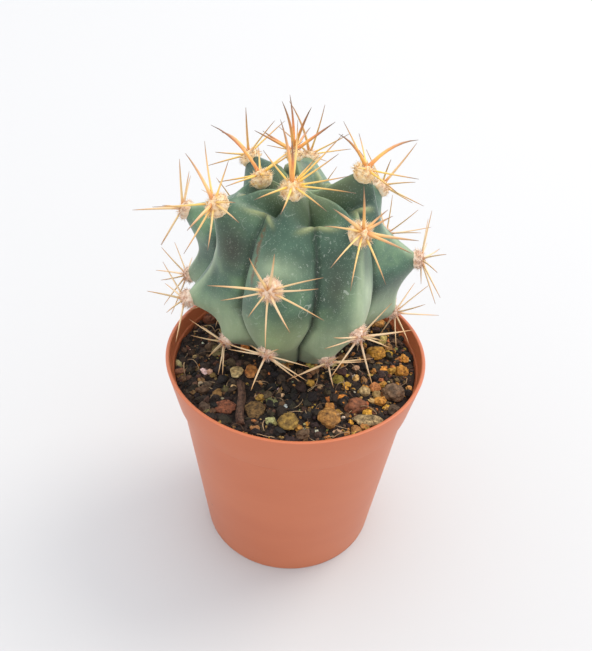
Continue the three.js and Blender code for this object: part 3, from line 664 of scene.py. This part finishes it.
def unit_rod(sides, rings, layer_name):
    """A straight rod of unit length and radius, cut into rings, with a colour layer."""
    bm = bmesh.new()
    bm.verts.layers.float_color.new(layer_name)
    upright = Matrix.Translation((0, 0, 0.5))
    bmesh.ops.create_cone(
        bm, cap_ends=True, segments=sides, radius1=1, radius2=1, depth=1, matrix=upright
    )
    lengthwise = [edge for edge in bm.edges if edge.verts[0].co.z != edge.verts[1].co.z]
    bmesh.ops.subdivide_edges(bm, edges=lengthwise, cuts=rings - 1)
    rod = bpy.data.meshes.new("rod")
    bm.to_mesh(rod)
    bm.free()
    return rod


def add_rod(bm, rod, layer_name, place_at, material_index=0):
    """Adds a copy of the unit rod, each vertex placed by its share of the length."""
    first = len(bm.verts)
    bm.from_mesh(rod)
    bm.verts.ensure_lookup_table()
    layer = bm.verts.layers.float_color[layer_name]
    for vert in bm.verts[first:]:
        vert.co, vert[layer] = place_at(vert.co.z, vert.co.copy())
        for face in vert.link_faces:
            face.material_index = material_index


def add_spine(bm, foot, middle, tip, radius, age, redness, curl):
    """A tapered spine on a smooth curve from foot to tip through its middle, moved by the curl."""
    first = 4 * middle - tip - 3 * foot - curl
    second = 2 * tip - 4 * middle + 2 * foot + curl
    side = (tip - foot).cross(Vector((0.3, 0.2, 1))).normalized()
    across = side.cross((tip - foot).normalized())

    def place_at(share, corner):
        width = radius * (1 - share**2.2) + SPINE_TIP_RADIUS
        width *= 1 + SPINE_BASE_BULGE * math.exp(-((share / 0.15) ** 2))
        centre = foot + first * share + second * share * share
        return centre + (side * corner.x + across * corner.y) * width, (share, age, redness, 1)

    add_rod(bm, spine_rod, "spine_tones", place_at, 1)


spine_rod = unit_rod(SPINE_SIDES, SPINE_RINGS, "spine_tones")
hairs = random.Random(11)
for rib_number, (rib_name, _, rows) in enumerate(RIBS):
    for index, (azimuth, tilt, _, size) in enumerate(rows):
        label = f"{rib_name}_{index + 1}"
        outward = Vector(direction_of(azimuth, tilt))
        reach_here, _ = stem_reach(np.array([float(rib_number)]), np.array([float(tilt)]))
        foot = STEM_CENTRE + outward * (reach_here[0] * MM)
        old = float(smooth(np.array(tilt), *SPINES_AGE_TILTS))
        bm = bmesh.new()
        bm.verts.layers.float_color.new("spine_tones")
        pad_radius = PAD_RADIUS * size
        pad_height = PAD_HEIGHT * size
        start = foot + outward * 0.45 * pad_height
        leaving = []
        for middle, tip in spine_paths(f"areole_{label}", foot):
            length = (tip - foot).length
            along = (tip - foot).normalized()
            is_central = along.dot(outward) > CENTRAL_LEAN
            curl = Vector()
            if is_central and length > CURL_LENGTH and tilt < CURL_TILT:
                curl = (along * along.z - Vector((0, 0, 1))) * SPINE_CURL * length
            redness = hairs.uniform(0.6, 1) * (1 - old) if is_central else hairs.uniform(0, 0.15)
            age = min(1, max(0, old + hairs.uniform(-0.15, 0.15)))
            radius = SPINE_RADIUS * (0.85 + 0.15 * size) * hairs.uniform(0.85, 1.1)
            if is_central:
                radius *= 1 + CENTRAL_STOUTNESS * (1 - 0.8 * old)
            add_spine(bm, start, middle, tip, radius, age, redness, curl)
            leaving.append(along)
        layer = bm.verts.layers.float_color["spine_tones"]
        turn = outward.to_track_quat("Z", "Y").to_matrix().to_4x4()
        pad_middle = foot - outward * PAD_SINK
        pad_shape = Vector((pad_radius, pad_radius, pad_height + PAD_SINK))
        pad = bmesh.ops.create_uvsphere(bm, u_segments=44, v_segments=26, radius=1)
        for vert in pad["verts"]:
            lump = 1 + PAD_LUMPINESS * noise.fractal(vert.co * PAD_LUMPS_ACROSS + foot * 900, 0.9, 2, 2)
            vert.co = pad_middle + turn @ (vert.co * pad_shape * lump)
            nearest = min((vert.co - start).cross(along).length for along in leaving)
            vert[layer] = (0, old, 0.7 * math.exp(-((nearest / STAIN_WIDTH) ** 2)), 1)
        for _ in range(int(PAD_HAIRS * size)):
            lean = math.acos(hairs.uniform(-0.1, 1))
            around = hairs.uniform(0, 2 * math.pi)
            out = Vector(direction_of(math.degrees(around), math.degrees(lean)))
            lay = (out + Vector([hairs.uniform(-0.8, 0.8) for _ in range(3)])).normalized()
            length = HAIR_LENGTH * hairs.uniform(0.4, 1)
            root = Matrix.Translation(out * pad_shape * 0.95 + lay * length / 2)
            hair = bmesh.ops.create_cone(
                bm,
                cap_ends=True,
                segments=3,
                radius1=HAIR_RADIUS,
                radius2=0,
                depth=length,
                matrix=Matrix.Translation(pad_middle)
                @ turn
                @ root
                @ lay.to_track_quat("Z", "Y").to_matrix().to_4x4(),
            )
            for vert in hair["verts"]:
                vert[layer] = (0, old, 0, 1)
        add_piece(f"wool_and_spines_{label}", bm, [wool, spine_horn], [f"areole_{label}"])


# ---- Potting soil ----
# Dark peat-based mix filled to just below the lip. Its surface is crumbly, a little higher
# round the stem, and it is moulded round the stem's foot.
FIT_GAP = 0.3 * MM
SOIL_RIM_GAP = 0.1 * MM
SOIL_MOUND = 1.2 * MM
SOIL_MOUND_RADII = (9, 24)
SOIL_RIPPLE = 0.225 * MM
CRUMB = 1.9 * MM
CRUMB_HEIGHT = 0.55 * MM
FINE_CRUMB = 0.8 * MM
FINE_CRUMB_HEIGHT = 0.16 * MM
SOIL_UNDER_STEM = 0.2 * MM
SOIL_RINGS = 80
SOIL_STEPS = 220
wall_slope = POT_BAND_FLARE / POT_BAND_HEIGHT
wall_radius = POT_RIM_RADIUS - POT_WALL - wall_slope * (POT_HEIGHT - SOIL_LEVEL)
soil_radius = wall_radius - POT_BEAD - SOIL_RIM_GAP


def soil_height(x, y):
    """Height of the soil at a place, without its crumbs."""
    from_stem = math.hypot(x - STEM_CENTRE.x, y - STEM_CENTRE.y)
    u, v = x / MM, y / MM
    ripple = math.sin(0.9 * u + 1.7) * math.cos(0.7 * v) + math.sin(1.3 * v - 0.8 * u)
    mound = SOIL_MOUND * (1 - float(smooth(np.array(from_stem / MM), *SOIL_MOUND_RADII)))
    return SOIL_LEVEL + mound + SOIL_RIPPLE * ripple


def crumbly_height(x, y):
    """Height of the soil at a place, with its crumbs."""
    spot = Vector((x, y, 0))
    lump = 0.55 - noise.voronoi(spot / CRUMB)[0][0]
    fine = noise.fractal(spot / FINE_CRUMB, 0.8, 2, 3)
    return soil_height(x, y) + CRUMB_HEIGHT * lump + FINE_CRUMB_HEIGHT * fine


shelf = band_foot - POT_WALL
soil_outline = [
    Vector((0, POT_FLOOR + FIT_GAP)),
    Vector((POT_BASE_RADIUS - POT_WALL - FIT_GAP, POT_FLOOR + FIT_GAP)),
    Vector((body_top_radius - POT_WALL - FIT_GAP, shelf)),
    Vector((band_foot_radius - POT_WALL - FIT_GAP, band_foot + FIT_GAP)),
]
for ring in range(SOIL_RINGS + 1):
    soil_outline.append(Vector((soil_radius * (1 - ring / SOIL_RINGS), SOIL_LEVEL)))
soil_bm = spun(soil_outline, SOIL_STEPS)
for vert in soil_bm.verts:
    if vert.co.z > SOIL_LEVEL - 10 * MERGE_DISTANCE:
        height = crumbly_height(vert.co.x, vert.co.y)
        under, _, _, _ = stem_tree.ray_cast(Vector((vert.co.x, vert.co.y, 0)), Vector((0, 0, 1)))
        if under and under.z < height + SOIL_UNDER_STEM:
            height = under.z - SOIL_UNDER_STEM
        vert.co.z = height

# Peat and coir mix: fully matt and open-textured, near black where damp, browner where dry.
peat, tree, shader = new_material("peat potting mix", 0.95)
PEAT_FLECK = 1.2 * MM
place = add_node(tree, "ShaderNodeTexCoord", {}).outputs["Object"]
crumbs = add_node(
    tree, "ShaderNodeTexNoise", {"Vector": place, "Scale": 1 / PEAT_FLECK, "Detail": 6, "Roughness": 0.7}
)
peat_colour = add_node(
    tree,
    "ShaderNodeValToRGB",
    {0: crumbs.outputs[0]},
    stops=[(0.32, "#120E0C"), (0.5, "#271D18"), (0.62, "#43322A"), (0.75, "#7A5C42")],
)
tree.links.new(peat_colour.outputs[0], shader.inputs["Base Color"])
crumb_bump = add_node(
    tree, "ShaderNodeBump", {"Height": crumbs.outputs[0], "Strength": 0.9, "Distance": 0.5 * MM}
)
tree.links.new(crumb_bump.outputs[0], shader.inputs["Normal"])
add_piece("potting_mix", soil_bm, [peat], ["soil"])


# ---- Loose grains and root fibres on the soil ----
# The mix holds grit, sand and bark fines: thousands of angular grains from dust to three
# millimetres, and fine pale roots. They lie loose on the soil.


def pitted_material(name, roughness, pit_size, pit_shade_colour, depth):
    """A matt material with each vertex's own colour, lower in its pits and darker there with painted shade.
    """
    material, tree, shader = new_material(name, roughness)
    place = add_node(tree, "ShaderNodeTexCoord", {}).outputs["Object"]
    own = add_node(tree, "ShaderNodeAttribute", {}, attribute_name="grain_colour")
    pits = add_node(
        tree, "ShaderNodeTexNoise", {"Vector": place, "Scale": 1 / pit_size, "Detail": 5, "Roughness": 0.7}
    )
    shade = add_node(
        tree, "ShaderNodeValToRGB", {0: pits.outputs[0]}, stops=[(0.34, pit_shade_colour), (0.58, "#FFFFFF")]
    )
    pitted = add_node(
        tree,
        "ShaderNodeMix",
        {"Factor": 0.9, 6: own.outputs["Color"], 7: shade.outputs[0]},
        data_type="RGBA",
        blend_type="MULTIPLY",
    )
    tree.links.new(pitted.outputs[2], shader.inputs["Base Color"])
    bump = add_node(tree, "ShaderNodeBump", {"Height": pits.outputs[0], "Strength": 0.7, "Distance": depth})
    tree.links.new(bump.outputs[0], shader.inputs["Normal"])
    return material


# Crushed grit and crumbs: matt and dusty, each grain its own colour, darkened in its pits with painted
# shade.
grain_grit = pitted_material("crushed grit and crumbs", 0.85, 0.7 * MM, "#7C6A58", 0.25 * MM)

# The colours of the grains, each with how often it comes.
GRAIN_COLOURS = {
    "#1E1613": 24,
    "#33261E": 24,
    "#4A3729": 16,
    "#6B4E37": 10,
    "#8E6440": 6,
    "#B98A45": 3,
    "#DDA040": 1,
    "#CDB380": 2,
    "#948350": 2,
    "#EAE3D0": 1,
}
# Golden calcined clay lies thicker on the right.
GOLDEN_COLOURS = {"#DFA03E": 3, "#C98A3C": 3, "#E8B867": 2, "#B9793A": 2}
STEM_FOOT_RADIUS = 7 * MM
litter = ("grit", "bark", "leaf", "twig")
litter_boxes = [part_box(name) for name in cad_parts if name.startswith(litter)]
scatter = random.Random(5)


def loose_spot():
    """A random place on the open soil, clear of the stem's foot and the larger litter."""
    while True:
        radius = soil_radius * math.sqrt(scatter.random()) * 0.985
        angle = scatter.uniform(0, 2 * math.pi)
        x, y = radius * math.cos(angle), radius * math.sin(angle)
        if math.hypot(x - STEM_CENTRE.x, y - STEM_CENTRE.y) < STEM_FOOT_RADIUS:
            continue
        if all(not (low.x < x < high.x and low.y < y < high.y) for low, high in litter_boxes):
            return x, y


def add_grains(name, count, smallest, largest, subdivisions):
    """Strews angular grains over the soil, most of them near the smallest size."""
    bm = bmesh.new()
    layer = bm.verts.layers.float_color.new("grain_colour")
    for _ in range(count):
        x, y = loose_spot()
        size = smallest * (largest / smallest) ** (scatter.random() ** 1.8)
        turn = Matrix.Rotation(scatter.uniform(0, 6.28), 4, "Z")
        lean = Matrix.Rotation(scatter.uniform(-0.6, 0.6), 4, "X")
        squash = Matrix.Diagonal((1, scatter.uniform(0.55, 1), scatter.uniform(0.4, 0.8), 1))
        lift = Matrix.Translation((x, y, crumbly_height(x, y) + 0.15 * size))
        grain = bmesh.ops.create_icosphere(
            bm, subdivisions=subdivisions, radius=size / 2, matrix=lift @ turn @ lean @ squash
        )
        golden = scatter.random() < largest / (9 * MM) * float(smooth(np.array(x), -8 * MM, 15 * MM))
        palette = GOLDEN_COLOURS if golden else GRAIN_COLOURS
        tone = srgb(scatter.choices(list(palette), list(palette.values()))[0])
        tone = [channel * scatter.uniform(0.75, 1.2) for channel in tone[:3]] + [1]
        centre = Vector((x, y, crumbly_height(x, y)))
        for vert in grain["verts"]:
            vert.co = centre + (vert.co - centre) * scatter.uniform(0.75, 1.2)
            vert[layer] = tone
    add_piece(name, bm, [grain_grit], faceted=True)


add_grains("fine_grains", count=3000, smallest=0.5 * MM, largest=1.2 * MM, subdivisions=1)
add_grains("coarse_grains", count=800, smallest=1.2 * MM, largest=3 * MM, subdivisions=2)

# Root fibre: dry cellulose threads, matt, straw to dark brown.
root_fibre, tree, shader = new_material("dry root fibre", 0.8)
place = add_node(tree, "ShaderNodeTexCoord", {}).outputs["Object"]
STRAND = 5 * MM
strands = add_node(tree, "ShaderNodeTexNoise", {"Vector": place, "Scale": 1 / STRAND})
strand_colour = add_node(
    tree, "ShaderNodeValToRGB", {0: strands.outputs[0]}, stops=[(0.4, "#5A4332"), (0.6, "#C2A27A")]
)
tree.links.new(strand_colour.outputs[0], shader.inputs["Base Color"])

fibre_bm = bmesh.new()
fibre_bm.verts.layers.float_color.new("grain_colour")
FIBRES = 90
FIBRE_SIDES = 4
FIBRE_RINGS = 8
FIBRE_LIFT = 0.5 * MM
fibre_rod = unit_rod(FIBRE_SIDES, FIBRE_RINGS, "grain_colour")
for _ in range(FIBRES):
    x, y = loose_spot()
    heading = scatter.uniform(0, 2 * math.pi)
    length = scatter.uniform(2, 6) * MM
    bend = scatter.uniform(-1.2, 1.2)
    radius = scatter.uniform(0.06, 0.12) * MM
    arch = scatter.uniform(0.1, 1) * MM

    def place_fibre(share, corner):
        """Where a point of this fibre's rod goes: along an arc that stays inside the pot."""
        angle = heading + bend * share
        px, py = x + length * share * math.cos(angle), y + length * share * math.sin(angle)
        inside = min(1, 0.94 * soil_radius / math.hypot(px, py))
        px, py = px * inside, py * inside
        side = Vector((-math.sin(angle), math.cos(angle), 0))
        height = soil_height(px, py) + FIBRE_LIFT + arch * math.sin(math.pi * share)
        off_line = (side * corner.x + Vector((0, 0, corner.y))) * radius
        return Vector((px, py, height)) + off_line, (1, 1, 1, 1)

    add_rod(fibre_bm, fibre_rod, "grain_colour", place_fibre)
add_piece("root_fibres", fibre_bm, [root_fibre])


# ---- Grit stones ----
# Thirteen larger stones of calcined clay and quartz, each broken to its own rough shape.
# They lie loose on the soil.

# Calcined clay: fired, matt and porous, with rounded pits darkened with painted shade.
clay_stone = pitted_material("calcined clay stone", 0.8, 1.1 * MM, "#6E5A44", 0.35 * MM)
STONE_COLOURS = [
    "#E39C3A", "#D99B38", "#B3A040", "#D6B880", "#9A5E3C", "#8A6C50", "#C08A44",
    "#A8863E", "#D0AC6E", "#C98F45", "#8E5436", "#D2A867", "#B08048",
]


def shaded(colour, brightness):
    """A hex colour as linear RGBA, made darker or lighter."""
    return [channel * brightness for channel in srgb(colour)[:3]] + [1]


def add_rough_stone(bm, low, high, colour, seed):
    """A stone broken out of a ball, as large as the box."""
    layer = bm.verts.layers.float_color.new("grain_colour")
    centre, half = (low + high) / 2, (high - low) / 2
    bmesh.ops.create_icosphere(bm, subdivisions=5, radius=1)
    for vert in bm.verts:
        spot = vert.co.copy()
        broken = 0.5 * (noise.voronoi(spot * 0.8 + Vector((seed, 0, 0)))[0][0] - 0.5)
        rough = 0.17 * noise.fractal(spot * 1.9 + Vector((0, seed, 0)), 0.7, 2, 5)
        size = min(1.12, 0.95 + broken + rough)
        vert.co = centre + Vector((spot.x * half.x, spot.y * half.y, spot.z * half.z)) * size
        shade = 0.8 + 0.5 * noise.noise(spot * 2 + Vector((0, 0, seed)))
        vert[layer] = shaded(colour, shade)


for number, colour in enumerate(STONE_COLOURS, start=1):
    stone_bm = bmesh.new()
    add_rough_stone(stone_bm, *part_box(f"grit_stone_{number}"), colour, 7.3 * number)
    add_piece(f"rough_stone_{number}", stone_bm, [clay_stone], [f"grit_stone_{number}"])


# ---- Bark chips, dry leaves and a twig ----
# Composted bark flakes with torn edges, two curled dead leaflets and a broken twig, all
# lying loose on the soil.

# Bark: dry, matt and fibrous, dark in its cracks with painted shade. Leaf: thin, dry, a slight
# sheen, faintly blotched with painted shade in its shallow dips. Twig: dull grey-brown bark
# with fine lengthwise cracks and painted shade in its pits.
bark = pitted_material("composted bark", 0.88, 0.5 * MM, "#4A382C", 0.4 * MM)
dead_leaf = pitted_material("dry leaf", 0.62, 1.6 * MM, "#A9825C", 0.12 * MM)
twig_bark = pitted_material("dead twig bark", 0.85, 0.6 * MM, "#5A4638", 0.3 * MM)


def add_flake(bm, low, high, colour, seed, lift):
    """An irregular plate in the box, thin at its edges."""
    layer = bm.verts.layers.float_color.new("grain_colour")
    centre, half = (low + high) / 2, (high - low) / 2
    bmesh.ops.create_uvsphere(bm, u_segments=48, v_segments=24, radius=1)
    for vert in bm.verts:
        spot = vert.co.copy()
        angle = math.atan2(spot.y, spot.x)
        ragged = 1 + 0.2 * noise.noise(Vector((2 * math.cos(angle), 2 * math.sin(angle), seed)))
        thick = math.copysign(abs(spot.z) ** 0.6, spot.z)
        grain = 0.18 * noise.fractal(spot * 3 + Vector((seed, 0, 0)), 0.8, 2, 4)
        curl = lift * (spot.x**2 + 0.5 * spot.y)
        vert.co = centre + Vector(
            (spot.x * half.x * ragged, spot.y * half.y * ragged, (thick * 0.7 + grain + curl) * half.z)
        )
        shade = 0.75 + 0.7 * noise.noise(spot * 2.5 + Vector((0, 0, seed)))
        vert[layer] = shaded(colour, shade)


for number, colour in enumerate(["#9A5A3C", "#86663A", "#C4A878"], start=1):
    bark_bm = bmesh.new()
    add_flake(bark_bm, *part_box(f"bark_chip_{number}"), colour, 3.1 * number, 0.1)
    add_piece(f"bark_flake_{number}", bark_bm, [bark], [f"bark_chip_{number}"])
for number, colour in enumerate(["#D8BE86", "#CE8A48"], start=1):
    leaf_bm = bmesh.new()
    add_flake(leaf_bm, *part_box(f"leaf_chip_{number}"), colour, 5.7 * number, 0.5)
    add_piece(f"dry_leaflet_{number}", leaf_bm, [dead_leaf], [f"leaf_chip_{number}"])

TWIG_RADIUS = 0.75 * MM
TWIG_SLANT = 0.6 * MM
TWIG_SIDES = 20
TWIG_RINGS = 40
twig_low, twig_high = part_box("twig")
twig_middle = (twig_low.x + twig_high.x) / 2
twig_level = twig_high.z - 0.8 * MM
twig_start = Vector((twig_middle - TWIG_SLANT, twig_high.y, twig_level))
twig_end = Vector((twig_middle + TWIG_SLANT, twig_low.y, twig_level))
twig_bm = bmesh.new()
twig_bm.verts.layers.float_color.new("grain_colour")


def place_twig(share, corner):
    """Where a point of the twig's rod goes: ridged bark on a slightly crooked line."""
    angle = math.atan2(corner.y, corner.x)
    ridges = 1 + 0.18 * math.sin(5 * angle + 4 * share)
    ridges += 0.15 * noise.noise(Vector((9 * share, angle, 0)))
    crook = Vector((0.25 * math.sin(6 * share), 0, 0.15 * math.sin(9 * share))) * MM
    centre = twig_start.lerp(twig_end, share) + crook
    shade = 0.8 + 0.5 * noise.noise(Vector((12 * share, 2 * angle, 1)))
    return centre + Vector((corner.x, 0, corner.y)) * TWIG_RADIUS * ridges, shaded("#6B4C3A", shade)


add_rod(twig_bm, unit_rod(TWIG_SIDES, TWIG_RINGS, "grain_colour"), "grain_colour", place_twig)
add_piece("broken_twig", twig_bm, [twig_bark], ["twig"])


# ---- Floor, light and camera ----
# A plain pale floor, white surroundings and a wide soft light from the upper right, behind
# the plant.
FLOOR_REACH = 3
floor_bm = bmesh.new()
bmesh.ops.create_grid(floor_bm, x_segments=2, y_segments=2, size=FLOOR_REACH)
floor_mesh = bpy.data.meshes.new("floor")
floor_bm.to_mesh(floor_mesh)
floor_bm.free()
floor_paper, tree, shader = new_material("white paper floor", 0.9)
shader.inputs["Base Color"].default_value = srgb("#C5C6C7")
floor_mesh.materials.append(floor_paper)
floor = bpy.data.objects.new("floor", floor_mesh)
bpy.context.scene.collection.objects.link(floor)

# The white room is brighter behind and above the plant than on the camera's side.
world = bpy.data.worlds.new("white room")
world.use_nodes = True
tree = world.node_tree
sky_direction = add_node(tree, "ShaderNodeTexCoord", {}).outputs["Generated"]
towards_bright = add_node(
    tree, "ShaderNodeVectorMath", {0: sky_direction, 1: (0.3, 0.9, 0.3)}, operation="DOT_PRODUCT"
)
brightness = add_node(
    tree, "ShaderNodeMapRange", {0: towards_bright.outputs["Value"], 1: -1, 2: 1, 3: 1.15, 4: 1.75}
)
background = tree.nodes["Background"]
background.inputs["Color"].default_value = srgb("#F5F6F9")
tree.links.new(brightness.outputs[0], background.inputs["Strength"])
bpy.context.scene.world = world


def add_soft_light(name, place, target, size, power, colour):
    """A round area lamp that faces its target."""
    light = bpy.data.lights.new(name, "AREA")
    light.shape = "DISK"
    light.size = size
    light.energy = power
    light.color = srgb(colour)[:3]
    lamp = bpy.data.objects.new(name, light)
    lamp.location = place
    lamp.rotation_mode = "QUATERNION"
    lamp.rotation_quaternion = (Vector(target) - Vector(place)).to_track_quat("-Z", "Y")
    bpy.context.scene.collection.objects.link(lamp)


add_soft_light(
    "window", place=(0.85, 0.5, 1.45), target=(0, 0, 0.05), size=0.8, power=12, colour="#FFF6EA"
)

CAMERA_PLACE = Vector((-0.25, -121.6, 150.2)) * MM
CAMERA_ELEVATION = 37.7
CAMERA_ROLL = 2.8
CAMERA_LENS = 40.9
camera_data = bpy.data.cameras.new("camera")
camera_data.lens = CAMERA_LENS
camera_data.clip_start = 0.01
camera = bpy.data.objects.new("camera", camera_data)
camera.matrix_world = (
    Matrix.Translation(CAMERA_PLACE)
    @ Matrix.Rotation(math.radians(90 - CAMERA_ELEVATION), 4, "X")
    @ Matrix.Rotation(math.radians(CAMERA_ROLL), 4, "Z")
)
bpy.context.scene.collection.objects.link(camera)
bpy.context.scene.camera = camera
bpy.context.scene.view_settings.view_transform = "Standard"
